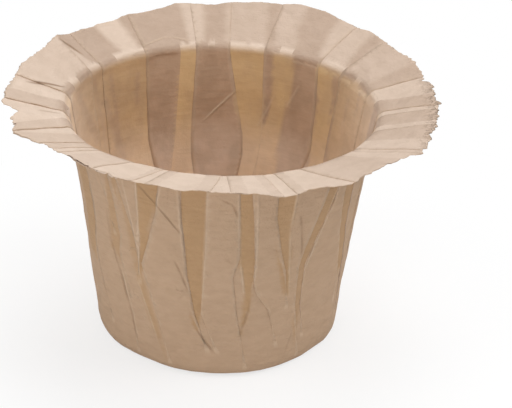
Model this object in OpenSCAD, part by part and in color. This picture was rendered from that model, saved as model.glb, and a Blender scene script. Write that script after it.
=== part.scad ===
// Pleated paper coffee filter: one round sheet of thin paper, gathered by hand-sized pleats into a
// straight-sided cup with a flat base, and turned out at the top into a flange with a torn edge.
// Origin: centre of the underside of the base. +Z runs up the cup, and -Y is the front.
// Every angle is in degrees around the cup, from the front towards +X.

/* [Cup] */
// Diameter where the wall turns out into the flange
throat_d = 46; // [42:0.5:56]
// Diameter of the foot, where the wall meets the base
base_d = 36.2; // [30:0.2:40]
// Height from the underside of the base to the throat
cup_h = 35.7; // [26:0.1:60]
// Radius of the bend between wall and base, on the inside
foot_bend_r = 1.8; // [1:0.1:3]
// How far the wall wanders from a true cone
wall_sway = 0.22; // [0:0.02:0.4]
// How far the wall bows in at half its height
wall_hollow = 0.25; // [0:0.05:0.6]

/* [Flange] */
// Diameter over the flange
flange_d = 64.4; // [60:0.2:76]
// Slope of the flange at the front
rise_front = 11; // [4:1:24]
// Slope of the flange at the back
rise_back = 24; // [4:1:30]
// Radius of the bend between wall and flange, on the top side
throat_bend_r = 1.6; // [1.2:0.1:2.4]
// Height of the waves in the flange
flange_wave = 0.3; // [0:0.05:0.8]
// How far the torn edge wanders in and out, against the shape it was torn to
torn_edge = 1; // [0:0.1:1.5]

/* [Paper] */
// Thickness of the paper
paper_t = 0.12; // [0.1:0.01:0.16]
// Air between two folded layers
layer_gap = 0.06; // [0.05:0.01:0.12]
// Overlap of the pleats, against the sheet as it was folded
pleat_fullness = 1; // [0.5:0.05:1]
// Share of that overlap that is left at the torn edge
flange_fullness = 0.85; // [0.4:0.05:0.9]

/* [Hidden] */

base_r = base_d / 2;
throat_r = throat_d / 2;
flange_r = flange_d / 2;
wall_lean = atan((throat_r - base_r) / cup_h);
// Stations beside a fold keep this far from it along the paper
fold_margin = paper_t / 2 + 0.1;
// Below its point, a pleat's two creases lie this far apart
open_width = 0.5;

// The crease pattern, one pleat to a line, in order around the cup. Columns: the outer fold at the
// torn edge; the outer fold down the wall, at the heights in fold_heights; the overlap at the throat
// and halfway down its run, positive where the outer fold lies on the +angle side; the last wall row
// where it is folded; and how many stations the open paper after it gets, so that it still curves.
fold_heights = [0, 0.2, 0.4, 0.5, 0.7, 1];
pleats = [
    [-67.5, [-73.5, -73, -72.5, -72, -70.5, -66], -6.5, -6, 6, 1],
    [-61, [-60, -59, -59.5, -61.2, -59.7, -53], -7, -7.5, 7, 0],
    [-53.5, [-51.5, -49.2, -46.8, -47, -45.5, -43], -3.7, -2.2, 2, 0],
    [-47.5, [-46, -44.4, -43.4, -44.6, -40.6, -38.8], -1.2, -4, 8, 0],
    [-43, [-42, -39, -34.9, -34.3, -34, -25.5], -11, -5.8, 4, 0],
    [-24, [-21.5, -23.8, -29.3, -32.5, -28, -21], -2, -5, 8, 1],
    [-15.6, [-14, -14, -13, -12.4, -9.6, -1], 3, 5.5, 7, 0],
    [-6.5, [-4.3, -4.4, -4.9, -5.4, -6.3, 4], -4.5, -5, 7, 0],
    [7, [6.8, 7.5, 8.2, 6, 8.2, 13.5], 4.5, 4, 8, 1],
    [12, [11, 13.1, 14.6, 15, 22.5, 30.5], -3.2, -3.6, 7, 0],
    [21, [21, 21.3, 25.3, 28.2, 31, 35], 2.8, 2.6, 5, 0],
    [49.5, [46, 42, 37, 34.6, 35.4, 41], 18, 3.6, 8, 0],
    [52.3, [51, 48.8, 41.8, 38.2, 38.6, 45], -0.8, -3.5, 7, 0],
    [56.5, [54.5, 54.2, 57.2, 59.3, 63, 66.5], 0.8, 2.5, 6, 0],
    [62, [62, 61.8, 63.2, 65.2, 67.5, 71.5], -9, -6, 7, 0],
    [72.5, [75.5, 75.5, 76, 76.5, 78, 80.5], -8.5, -6, 6, 0],
    [91.5, [97, 98, 98.5, 98, 96.5, 94], 9, 7.5, 7, 1],
    [113, [116, 115.5, 114.5, 113.5, 112, 109.5], 9.5, 7.5, 6, 1],
    [120, [120, 120.5, 121.5, 122.5, 124, 126.5], -7.5, -6.5, 7, 1],
    [150.5, [152, 153, 154.5, 156, 157, 156], 12.5, 18, 8, 0],
    [158, [158, 159, 161, 163, 165, 167], -5.5, -3.5, 4, 1],
    [183, [183, 182, 180.5, 179.5, 178, 176], 5.3, 10, 8, 0],
    [186.3, [186.5, 186.5, 186.5, 187, 188, 190], -4, -7, 8, 1],
    [197, [197.5, 199, 201, 202.5, 205, 208.5], -14, -12, 7, 2],
    [224, [225.5, 226, 226.5, 227, 228.5, 231], -8, -9, 7, 0],
    [244.7, [249, 249, 248.5, 248, 246.5, 244.5], 9, 7.5, 7, 0],
    [255.7, [255, 255.5, 256.5, 257.5, 259, 261.5], -8, -6.5, 6, 1],
    [271, [271, 271, 271.5, 272, 273.5, 276], -8, -6.5, 7, 1]
];

// The torn edge: angles, and how far it stands out of the flange's circle there
torn_shape = [
    [-180, -0.1], [-168, -0.1], [-160, -0.7], [-150, -1.3], [-136, -1.6], [-122, -1.4], [-112, -2], [-104, -1.4],
    [-92, -0.9], [-80, 0], [-75, -1], [-70, -0.8], [-65, 1.2], [-57, 1], [-53, -1.2], [-45, -1.2], [-38, -1],
    [-33, 0], [-20, -0.2], [-8, 0.1], [5, 0.6], [16, 1], [24, -0.2], [35, 1.4], [45, 1.8], [47, 0.8], [53.5, 2.4],
    [56, 0.8], [66, 0.8], [74, -0.2], [90, -0.8], [112, -0.8], [128, -0.9], [150, 0.3], [165, 0.2], [180, -0.1]
];

// Wall rows, as shares of the way from the throat (0) down to the foot (1)
wall_rows = [0, 0.1, 0.2, 0.3, 0.4, 0.5, 0.6, 0.7, 0.8, 0.9, 1];
// Flange rows, as shares of the way from the torn edge (1) in to the bend (0)
flange_rows = [1, 0.5, 0];
throat_steps = 3;
foot_steps = 2;
first_wall_row = len(flange_rows) + throat_steps - 1;
row_count = first_wall_row + len(wall_rows) + foot_steps;
last_wall_row = first_wall_row + len(wall_rows) - 1;

// Slope of the flange around the cup
function rise(a) = rise_front + (rise_back - rise_front) * (1 - cos(a)) / 2;

// Radius of the torn edge around the cup
function torn_r(a) =
    flange_r + torn_edge * (lookup((a + 540) % 360 - 180, torn_shape) + 0.14 * sin(23 * a) + 0.1 * sin(41 * a + 50));

// How far the wall stands off its cone at an angle and a share of the way down
function sway(a, v) =
    wall_sway * (sin(2 * a + 30) + 0.6 * sin(5 * a + 80 * v) + 0.4 * sin(9 * a - 120 * v))
    - wall_hollow * 4 * v * (1 - v);

// The bend at the throat: where it starts on the wall, and its centre, as [radius, height]
function bend_turn(a) = 90 - wall_lean - rise(a);
function bend_start(a) =
    let (back = throat_bend_r * tan(bend_turn(a) / 2))
    [throat_r - back * sin(wall_lean), cup_h - back * cos(wall_lean)];
function bend_centre(a) = bend_start(a) + throat_bend_r * [cos(wall_lean), -sin(wall_lean)];

// The bend at the foot: where the wall ends, and its centre
foot_top_z = paper_t + foot_bend_r * (1 - sin(wall_lean));
foot_top = [base_r + foot_top_z * tan(wall_lean), foot_top_z];
foot_centre = foot_top - foot_bend_r * [cos(wall_lean), -sin(wall_lean)];

// Inside face of the sheet in one row at one angle: [radius, height, and the way out through the sheet]
function flange_face(u, a) =
    let (
        up = rise(a),
        out = [sin(up), -cos(up)],
        start = bend_centre(a) - throat_bend_r * out,
        reach = u * (torn_r(a) - start[0]),
        wave = u * flange_wave * (sin(4 * a + 200) + 0.7 * sin(9 * a + 70) + 0.4 * sin(17 * a))
    )
    [start[0] + reach, start[1] + reach * tan(up) + wave, out[0], out[1]];

function bend_face(q, a) =
    let (
        up = 90 - wall_lean - q * bend_turn(a),
        out = [sin(up), -cos(up)],
        at = bend_centre(a) - throat_bend_r * out
    )
    [at[0] + (1 - q) * sway(a, 0), at[1], out[0], out[1]];

function wall_face(v, a) =
    let (at = bend_start(a) * (1 - v) + foot_top * v)
    [at[0] + sway(a, v), at[1], cos(wall_lean), -sin(wall_lean)];

function foot_face(q, a) =
    let (
        down = wall_lean + q * (90 - wall_lean),
        out = [cos(down), -sin(down)],
        at = foot_centre + foot_bend_r * out
    )
    [at[0] + sway(a, 1), at[1], out[0], out[1]];

function face_at(row, a) =
    row < len(flange_rows) - 1 ? flange_face(flange_rows[row], a)
    : row < first_wall_row ? bend_face((first_wall_row - row) / throat_steps, a)
    : row <= last_wall_row ? wall_face(wall_rows[row - first_wall_row], a)
    : foot_face((row - last_wall_row) / foot_steps, a);

// A point of the sheet: a row, an angle, and how far out from the inside face
function place(row, a, level) =
    let (face = face_at(row, a), r = face[0] + level * face[2])
    [r * sin(a), -r * cos(a), face[1] + level * face[3]];

// A pleat is folded down to its point, stands on edge in the row of its point, and lies open below
function point_row(pleat) = first_wall_row + pleat[4] + 1;
function way_down(row) = wall_rows[max(0, min(row, last_wall_row) - first_wall_row)];
function run_share(row, pleat) = min(1, way_down(row) / way_down(point_row(pleat)));
function flange_share(row) = row < len(flange_rows) ? flange_rows[row] : 0;

// Overlap of a pleat in a row
function span(row, pleat) =
    pleat_fullness * lookup(run_share(row, pleat), [[0, pleat[2]], [0.5, pleat[3]], [1, 0]]);

// Angle of the outer fold in a row of the wall
function fold_angle(row, pleat) =
    lookup(way_down(row), [for (i = [0:len(fold_heights) - 1]) [fold_heights[i], pleat[1][i]]]);

// Middle of a pleat in a row
function pleat_middle(row, pleat) =
    let (out = flange_share(row))
    (1 - out) * fold_angle(row, pleat) + out * pleat[0] - span(row, pleat) / 2;

// The six stations of one pleat along each face of the sheet, from low to high angle: [angle, level]
function pleat_stations(row, pleat, outer) =
    let (
        way = sign(pleat[2]),
        folded = row < point_row(pleat),
        open = row > point_row(pleat),
        deg_per_mm = 180 / PI / face_at(row, pleat[0])[0],
        mid = pleat_middle(row, pleat),
        overlap = span(row, pleat) * (1 - (1 - flange_fullness) * flange_share(row)),
        half = (open ? -way * open_width * deg_per_mm : overlap) / 2,
        half_t = paper_t / 2,
        side = outer ? 1 : -1,
        skin = side * way * half_t * deg_per_mm,
        reach = abs(half) + fold_margin * deg_per_mm,
        step = folded ? paper_t + layer_gap : open ? 0 : paper_t,
        top = half_t + 2 * step + side * half_t,
        between = half_t + step + side * half_t * (folded ? -1 : open ? 1 : 0),
        low = half_t + side * half_t,
        path = [
            [mid - way * reach, top],
            [mid + half + skin, top],
            [mid + half + skin, between],
            [mid - half + skin, between],
            [mid - half + skin, low],
            [mid + way * reach, low]
        ]
    )
    way > 0 ? path : [for (i = [5:-1:0]) path[i]];

// Stations of the open paper between two pleats, on a straight line from one to the next
function open_stations(from, to, count) = [
    for (i = [1:1:count]) from + (to - from) * i / (count + 1)
];

function ring(row, outer) =
    let (
        paths = [for (pleat = pleats) pleat_stations(row, pleat, outer)],
        last = len(pleats) - 1
    )
    [
        for (k = [0:last])
            let (next = k < last ? paths[k + 1][0] : paths[0][0] + [360, 0])
            for (station = concat(paths[k], open_stations(paths[k][5], next, pleats[k][5])))
                place(row, station[0], station[1])
    ];

// Which stations of a ring start the middle layer of a pleat, where patches are cut the other way
crosswise = [for (pleat = pleats, i = [0:5 + pleat[5]]) i == 2];
ring_size = len(crosswise);
function outer_at(row, i) = row * ring_size + i % ring_size;
function inner_at(row, i) = (row_count + row) * ring_size + i % ring_size;

// Two triangles for a patch. The cut follows the folds, so that stacked layers stay parallel.
function patch(a, b, c, d, crosswise) = crosswise ? [[a, b, d], [b, c, d]] : [[a, b, c], [a, c, d]];

module folded_paper() {
    points = concat(
        [for (row = [0:row_count - 1], p = ring(row, true)) p],
        [for (row = [0:row_count - 1], p = ring(row, false)) p]
    );
    outside = [
        for (row = [0:row_count - 2], i = [0:ring_size - 1])
            each patch(
                outer_at(row, i), outer_at(row, i + 1), outer_at(row + 1, i + 1), outer_at(row + 1, i), crosswise[i]
            )
    ];
    inside = [
        for (row = [0:row_count - 2], i = [0:ring_size - 1])
            each patch(
                inner_at(row + 1, i), inner_at(row + 1, i + 1), inner_at(row, i + 1), inner_at(row, i), !crosswise[i]
            )
    ];
    torn_edge_faces = [
        for (i = [0:ring_size - 1])
            each patch(inner_at(0, i), inner_at(0, i + 1), outer_at(0, i + 1), outer_at(0, i), false)
    ];
    underside = [[for (i = [0:ring_size - 1]) outer_at(row_count - 1, i)]];
    floor_face = [[for (i = [ring_size - 1:-1:0]) inner_at(row_count - 1, i)]];
    color([0.74, 0.63, 0.52])
        polyhedron(points, concat(outside, inside, torn_edge_faces, underside, floor_face), convexity = 8);
}

folded_paper();
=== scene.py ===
"""Pleated paper coffee filter: the dressed sheet, its finish, the studio and the camera.

The folded sheet is carried over from the frame, cut into small cells, pressed flat, crumpled along
listed creases, torn along its edge, and given a finish that knows how many layers of paper lie at
each place. Lengths are in metres. Angles run around the cup in degrees from the front, -Y, towards +X,
and "down" is the share of the way from the throat (0) to the foot (1). On the flange it is negative.
"""

import logging
import math
from dataclasses import dataclass
from enum import Enum

import bmesh
import bpy
import numpy as np
from mathutils import Matrix, Quaternion, Vector, noise
from mathutils.bvhtree import BVHTree

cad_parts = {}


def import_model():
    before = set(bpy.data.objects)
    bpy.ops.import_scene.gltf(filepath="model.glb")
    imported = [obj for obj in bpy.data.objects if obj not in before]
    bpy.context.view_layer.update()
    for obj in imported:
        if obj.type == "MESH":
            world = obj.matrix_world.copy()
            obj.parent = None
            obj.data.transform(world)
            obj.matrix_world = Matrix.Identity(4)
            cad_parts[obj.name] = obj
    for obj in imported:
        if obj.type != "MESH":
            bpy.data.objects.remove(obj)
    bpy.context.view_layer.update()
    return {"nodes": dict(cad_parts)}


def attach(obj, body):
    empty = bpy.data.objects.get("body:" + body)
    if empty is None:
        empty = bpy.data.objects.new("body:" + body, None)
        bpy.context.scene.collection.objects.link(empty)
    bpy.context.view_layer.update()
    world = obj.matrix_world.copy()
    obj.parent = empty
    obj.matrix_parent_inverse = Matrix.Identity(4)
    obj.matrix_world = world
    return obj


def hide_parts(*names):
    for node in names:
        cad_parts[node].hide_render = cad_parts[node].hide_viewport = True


log = logging.getLogger("coffee_filter")

Triple = tuple[float, float, float]
Colour = Triple
Spot = tuple[float, float]

MM = 0.001
IMAGE_WIDTH_PX = 512
IMAGE_HEIGHT_PX = 408
SENSOR_MM = 36.0
SHEET_NODE = "folded_paper"
LAYER_MAP = "layer_map"
CREASE_MAP = "crease_map"

MERGE_DISTANCE = 0.002 * MM
FLAT_TOLERANCE = 0.005 * MM
CUT_TOLERANCE = 0.01 * MM
RAY_NUDGE = 0.002 * MM
RAY_ROOM = 0.15 * MM
TINY = 1e-6
SEED_STEPS = (7.13, 3.71, 5.37)
NOISE_GAIN = 1.6
DEGREES_IN_RADIAN = 57.3
SMOOTH_BELOW = math.radians(42)
FOLD_ABOVE = math.radians(60)

# Waves of the wall: size, number around the cup, start in degrees, and twist from throat to foot
SWAY_WAVES = ((1.0, 2.0, 30.0, 0.0), (0.6, 5.0, 0.0, 80.0), (0.4, 9.0, 0.0, -120.0))
# Waves of the flange: size, number around the cup, and start in degrees
FLANGE_WAVES = ((1.0, 4.0, 200.0), (0.7, 9.0, 70.0), (0.4, 17.0, 0.0))


def polar(points: np.ndarray) -> tuple[np.ndarray, np.ndarray]:
    """Distance of each point from the axis, and its angle around the cup in radians."""
    return np.hypot(points[:, 0], points[:, 1]), np.arctan2(points[:, 0], -points[:, 1])


def fade(gap: np.ndarray, reach: float) -> np.ndarray:
    """A share that is 1 where there is no gap and falls to 0 at reach."""
    return np.clip(1.0 - gap / reach, 0.0, 1.0)


def read_off(table: tuple[Spot, ...], values: np.ndarray) -> np.ndarray:
    """Reads each value off a table of pairs, on the straight line between two of them."""
    return np.interp(values, *zip(*table))


class Face(Enum):
    """Which face of the sheet a patch belongs to."""

    OUTSIDE = 0.0
    INSIDE = 1.0


@dataclass(frozen=True)
class CupForm:
    """The cup's profile, as the frame holds it.

    Attributes:
        throat_r: radius where the wall turns out into the flange.
        throat_z: height of that bend.
        foot_r: radius of the foot.
        foot_bend_z: height at which the foot's bend ends and the wall begins.
        paper: thickness of the sheet.
        air: gap between two folded layers.
        wall_sway: how far the wall wanders from a cone.
        wall_hollow: how far the wall bows in at half its height.
        rise_front: slope of the flange at the front, in degrees.
        rise_back: slope of the flange at the back, in degrees.
        throat_bend_r: radius of the bend between wall and flange.
        flange_wave: height of the waves in the flange.
        flange_start: length over which the wall's press and dents give way to the flange's.
    """

    throat_r: float = 23.0 * MM
    throat_z: float = 35.7 * MM
    foot_r: float = 18.1 * MM
    foot_bend_z: float = 1.68 * MM
    paper: float = 0.12 * MM
    air: float = 0.06 * MM
    wall_sway: float = 0.22 * MM
    wall_hollow: float = 0.25 * MM
    rise_front: float = 11.0
    rise_back: float = 24.0
    throat_bend_r: float = 1.6 * MM
    flange_wave: float = 0.3 * MM
    flange_start: float = 1.5 * MM

    @property
    def stack(self) -> float:
        """Depth of three folded layers."""
        return 3.0 * self.paper + 2.0 * self.air

    @property
    def lean(self) -> float:
        """Angle of the wall off the vertical, in radians."""
        return math.atan2(self.throat_r - self.foot_r, self.throat_z)

    def down(self, points: np.ndarray) -> np.ndarray:
        """Share of the way down of each point, from the throat (0) to the foot (1)."""
        return np.clip(1.0 - points[:, 2] / self.throat_z, 0.0, 1.0)

    def sway(self, turn: np.ndarray, down: np.ndarray) -> np.ndarray:
        """How far the wall stands off its cone.

        Args:
            turn: angle of each point around the cup, in radians.
            down: share of the way down of each point.

        Returns:
            A distance for each point.
        """
        waves = sum(
            size * np.sin(number * turn + math.radians(start) + math.radians(twist) * down)
            for size, number, start, twist in SWAY_WAVES
        )
        return self.wall_sway * waves - self.wall_hollow * 4.0 * down * (1.0 - down)

    def lie(self, points: np.ndarray) -> tuple[np.ndarray, np.ndarray, np.ndarray]:
        """How each point lies in the folded stack, measured from the sheet's inside face.

        Args:
            points: positions, one to a row.

        Returns:
            The depth of each point, the unit vector out through the sheet there, and how far it lies
            on the flange, from 0 on the wall to 1.
        """
        radius, turn = polar(points)
        height = points[:, 2]
        lean_sin, lean_cos = math.sin(self.lean), math.cos(self.lean)
        up = np.radians(self.rise_front + (self.rise_back - self.rise_front) * (1.0 - np.cos(turn)) / 2.0)
        up_sin, up_cos = np.sin(up), np.cos(up)
        back = self.throat_bend_r * np.tan((math.pi / 2.0 - self.lean - up) / 2.0)
        start_r = self.throat_r - back * lean_sin
        start_z = self.throat_z - back * lean_cos
        across = radius - start_r - self.throat_bend_r * lean_cos
        above = height - start_z + self.throat_bend_r * lean_sin
        past_bend = across * up_cos + above * up_sin
        below_bend = -across * lean_sin - above * lean_cos
        down = np.clip((start_z - height) / (start_z - self.foot_bend_z), 0.0, 1.0)
        foot_top_r = self.foot_r + self.foot_bend_z * math.tan(self.lean)
        wall_r = start_r + (foot_top_r - start_r) * down + self.sway(turn, down)
        wall_depth = (radius - wall_r) * lean_cos
        waves = sum(
            size * np.sin(number * turn + math.radians(start)) for size, number, start in FLANGE_WAVES
        )
        run = (radius - start_r) / (self.edge_radius(turn, radius) - start_r)
        wave = np.clip(run, 0.0, 1.0) * self.flange_wave * waves
        flange_depth = self.throat_bend_r - (above * up_cos - across * up_sin) + wave * up_cos
        bend_length = np.hypot(across, above)
        on_wall, on_flange = below_bend > 0.0, past_bend > 0.0
        depth = np.where(on_flange, flange_depth, self.throat_bend_r - bend_length)
        depth = np.where(on_wall, wall_depth, depth)
        out_r = np.where(on_wall, lean_cos, np.where(on_flange, up_sin, -across / bend_length))
        out_z = np.where(on_wall, -lean_sin, np.where(on_flange, -up_cos, -above / bend_length))
        base = np.clip(1.0 - height / self.foot_bend_z, 0.0, 1.0)
        out_r, out_z = out_r * (1.0 - base), out_z * (1.0 - base) - base
        side = np.stack([points[:, 0], points[:, 1]], axis=1) / np.maximum(radius, TINY)[:, None]
        out = np.concatenate([side * out_r[:, None], out_z[:, None]], axis=1)
        out /= np.linalg.norm(out, axis=1)[:, None]
        flange = np.clip(0.5 + past_bend / self.flange_start, 0.0, 1.0)
        return depth, out, flange

    @staticmethod
    def edge_radius(turn: np.ndarray, radius: np.ndarray) -> np.ndarray:
        """Radius of the torn edge at each point's angle.

        Args:
            turn: angle of each point around the cup, in radians.
            radius: distance of each point from the axis.

        Returns:
            A radius for each point.
        """
        degrees = np.degrees(turn)
        rim = np.zeros(360)
        np.maximum.at(rim, np.floor(degrees + 180.0).astype(int) % 360, radius)
        return np.interp(degrees, np.arange(360) - 179.5, rim, period=360.0)


@dataclass(frozen=True)
class HandCrease:
    """One crease pressed into the sheet beside the pleats, raised along one side.

    Attributes:
        start: angle and share of the way down where it begins.
        end: angle and share of the way down where it ends.
        lift: height of the raised side. A negative lift raises the other side.
        width: how far the raised side reaches from the crease.
        line: how dark the crease's line of painted shade is. A negative line is a painted highlight, lighter
            than the paper.
        end_reach: length over which the raised side fades at both ends.
        sharpness: width over which it rises at the crease.
        low_side: share of the lift that is left on the low side, before it falls away.
    """

    start: Spot
    end: Spot
    lift: float
    width: float
    line: float
    end_reach: float = 0.9 * MM
    sharpness: float = 0.4 * MM
    low_side: float = 0.32

    def place(
        self, angle: np.ndarray, down: np.ndarray, form: CupForm
    ) -> tuple[np.ndarray, np.ndarray, float]:
        """Where each point lies from the crease, on the unrolled sheet.

        Args:
            angle: angle of each point around the cup, in degrees.
            down: share of the way down of each point.
            form: the cup's profile.

        Returns:
            How far each point lies along the crease and to its side, and the crease's length.
        """
        per_degree = math.radians(form.throat_r * 0.9)
        step_x = (self.end[0] - self.start[0]) * per_degree
        step_y = (self.end[1] - self.start[1]) * form.throat_z
        length = math.hypot(step_x, step_y)
        away_x = ((angle - self.start[0] + 180.0) % 360.0 - 180.0) * per_degree
        away_y = (down - self.start[1]) * form.throat_z
        along = (away_x * step_x + away_y * step_y) / length
        across = (away_x * step_y - away_y * step_x) / length
        return along, across, length

    def press(self, angle: np.ndarray, down: np.ndarray, form: CupForm) -> np.ndarray:
        """How far the crease moves each point out.

        Args:
            angle: angle of each point around the cup, in degrees.
            down: share of the way down of each point.
            form: the cup's profile.

        Returns:
            A distance for each point.
        """
        along, across, length = self.place(angle, down, form)
        end_fade = np.clip(np.minimum(along, length - along) / self.end_reach + 0.5, 0.0, 1.0)
        raised = across * math.copysign(1.0, self.lift)
        reach = np.exp(-np.abs(across) / self.width)
        rise = self.low_side + (1.0 - self.low_side) * np.tanh(raised / self.sharpness)
        return end_fade * reach * abs(self.lift) * rise

    def mark(
        self, angle: np.ndarray, down: np.ndarray, form: CupForm
    ) -> tuple[np.ndarray, np.ndarray, np.ndarray]:
        """What the finish needs to draw the line of the crease.

        Args:
            angle: angle of each point around the cup, in degrees.
            down: share of the way down of each point.
            form: the cup's profile.

        Returns:
            The distance of each point from the crease, how far it lies to its side, and the line's
            strength there, which fades towards both ends.
        """
        along, across, length = self.place(angle, down, form)
        beyond = np.maximum(np.maximum(-along, along - length), 0.0)
        share = np.clip(along / length, 0.0, 1.0)
        return np.hypot(across, beyond), across, abs(self.line) * 2.0 * np.sqrt(share * (1.0 - share))


# Creases with a raised side: start, end, lift and width in millimetres, and line, the strength of the painted
# shade along the crease, negative for a painted highlight
PRESSED_CREASES = (
    ((-31, 0.1), (-22, 0.19), 0.2, 2.0, 0.7),
    ((-23, 0.18), (-14.2, 0.3), 0.25, 2.0, 0.8),
    ((-17, 0.44), (-14.3, 0.5), 0.2, 1.4, 0.6),
    ((-14.3, 0.5), (-12, 0.57), 0.2, 1.4, 0.6),
    ((-16, 0.62), (-13.2, 0.59), 0.06, 0.8, 0.2),
    ((-10.2, 0.72), (-11.1, 0.78), 0.08, 1.0, 0.0),
    ((-11.1, 0.78), (-10.8, 0.83), 0.08, 1.0, 0.0),
    ((-8.5, 0.755), (-1, 0.87), 0.2, 1.6, 0.7),
    ((1, 0.115), (5, 0.14), 0.1, 1.0, 0.5),
    ((5, 0.14), (7, 0.2), 0.1, 1.0, 0.5),
    ((14.8, 0.615), (10.8, 0.76), 0.16, 1.4, 0.45),
    ((10.8, 0.76), (10.2, 0.79), 0.16, 1.4, 0.4),
    ((31.5, 0.23), (33, 0.29), -0.15, 1.3, 0.45),
    ((33, 0.29), (35.6, 0.45), -0.2, 1.3, 0.5),
    ((21, 0.37), (25, 0.39), 0.06, 0.8, 0.3),
    ((-49.7, 0.3), (-49.7, 0.44), -0.12, 1.3, 0.25),
    ((-49.7, 0.44), (-46, 0.57), -0.15, 1.3, 0.45),
    ((-46, 0.57), (-42.4, 0.71), -0.15, 1.3, 0.55),
    ((-42.4, 0.71), (-38.9, 0.9), -0.1, 1.3, 0.4),
    ((-59.4, 0.24), (-61, 0.5), -0.1, 1.2, 0.3),
    ((-61, 0.5), (-57.6, 0.77), -0.1, 1.2, 0.3),
    ((36.3, 0.81), (33.5, 0.92), -0.1, 1.4, 0.3),
    ((2.5, 0.4), (6, 0.43), 0.05, 0.8, 0.2),
    ((188, 0.34), (174.5, 0.2), -0.12, 0.6, -0.7),
    ((164.5, 0.36), (158, 0.2), -0.1, 0.6, -0.4),
    ((152, 0.24), (147, 0.12), -0.1, 0.6, -0.4),
    ((237.2, -0.2), (235.8, -0.09), 0.1, 0.6, 0.9),
    ((265, -0.18), (259, 0), 0.1, 0.6, 1.0),
    ((283, -0.12), (282, -0.02), 0.1, 0.6, 0.5),
    ((213, -0.03), (201, -0.07), 0.1, 0.6, -0.6),
    ((201, -0.07), (191, -0.03), 0.1, 0.6, -0.5),
    ((-37.8, 0.08), (-34.6, 0.42), 0.06, 0.6, -0.6),
    ((-36, 0.58), (-27, 0.87), 0.05, 0.6, -0.5),
)

# Light lines that catch the light along the edge of a fold: start, end and how light they are
PALE_LINES = (
    ((-44.9, 0.57), (-41.3, 0.71), 0.6),
    ((-41.3, 0.71), (-38.2, 0.88), 0.4),
    ((-32.2, 0.28), (-31.3, 0.05), 0.9),
    ((-34.6, 0.56), (-32.2, 0.26), 0.9),
    ((-21, 0.06), (-23.4, 0.2), 0.5),
    ((-15.2, 0.05), (-13.6, 0.42), 0.45),
    ((-6, 0.62), (-4.2, 0.05), 0.5),
    ((6.6, 0.06), (8.8, 0.42), 0.6),
    ((8.8, 0.42), (11.2, 0.58), 0.7),
    ((15.8, 0.56), (13.2, 0.05), 0.6),
    ((28.9, 0.05), (28, 0.28), 0.6),
    ((27.9, 0.29), (31.6, 0.62), 0.6),
    ((52, 0.04), (44.6, 0.34), 0.6),
    ((44.6, 0.33), (38.2, 0.52), 0.7),
)

CREASES = tuple(
    HandCrease(start, end, lift * MM, width * MM, line) for start, end, lift, width, line in PRESSED_CREASES
) + tuple(HandCrease(start, end, 0.0, MM, -light) for start, end, light in PALE_LINES)


# Height of the wall, as so many degrees around the cup at the same distance
DEGREES_DOWN = 95.0


@dataclass(frozen=True)
class TonePatch:
    """A stretch of paper whose tone is given as an outline on the sheet.

    Attributes:
        outline: its corners, each an angle and a share of the way down, which is negative above the throat.
        tone: 1 for the tone of single paper, 0 for the tone of stacked paper. The finish paints single paper
            darker outside, as shade, and paler inside, as light shining through.
        soft: how far its edge fades, in degrees.
    """

    outline: tuple[Spot, ...]
    tone: float = 1.0
    soft: float = 0.8

    def cover(self, angle: np.ndarray, down: np.ndarray) -> np.ndarray:
        """How far the patch covers each point.

        Args:
            angle: angle of each point around the cup, in degrees.
            down: share of the way down of each point.

        Returns:
            A value from 0 to 1 for each point.
        """
        middle = self.outline[0][0]
        angle = (angle - middle + 180.0) % 360.0 - 180.0 + middle
        inside = np.zeros(len(angle), dtype=bool)
        nearest = np.full(len(angle), np.inf)
        for (ax, ay), (bx, by) in zip(self.outline, self.outline[1:] + self.outline[:1]):
            ay, by = ay * DEGREES_DOWN, by * DEGREES_DOWN
            py = down * DEGREES_DOWN
            span = (ay > py) != (by > py)
            cross = ax + (py - ay) * (bx - ax) / (by - ay if by != ay else TINY)
            inside ^= span & (angle < cross)
            length = (bx - ax) ** 2 + (by - ay) ** 2
            share = np.clip(((angle - ax) * (bx - ax) + (py - ay) * (by - ay)) / length, 0.0, 1.0)
            gap = np.hypot(angle - ax - share * (bx - ax), py - ay - share * (by - ay))
            nearest = np.minimum(nearest, gap)
        signed = np.where(inside, nearest, -nearest)
        return np.clip(signed / self.soft + 0.5, 0.0, 1.0)
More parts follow.
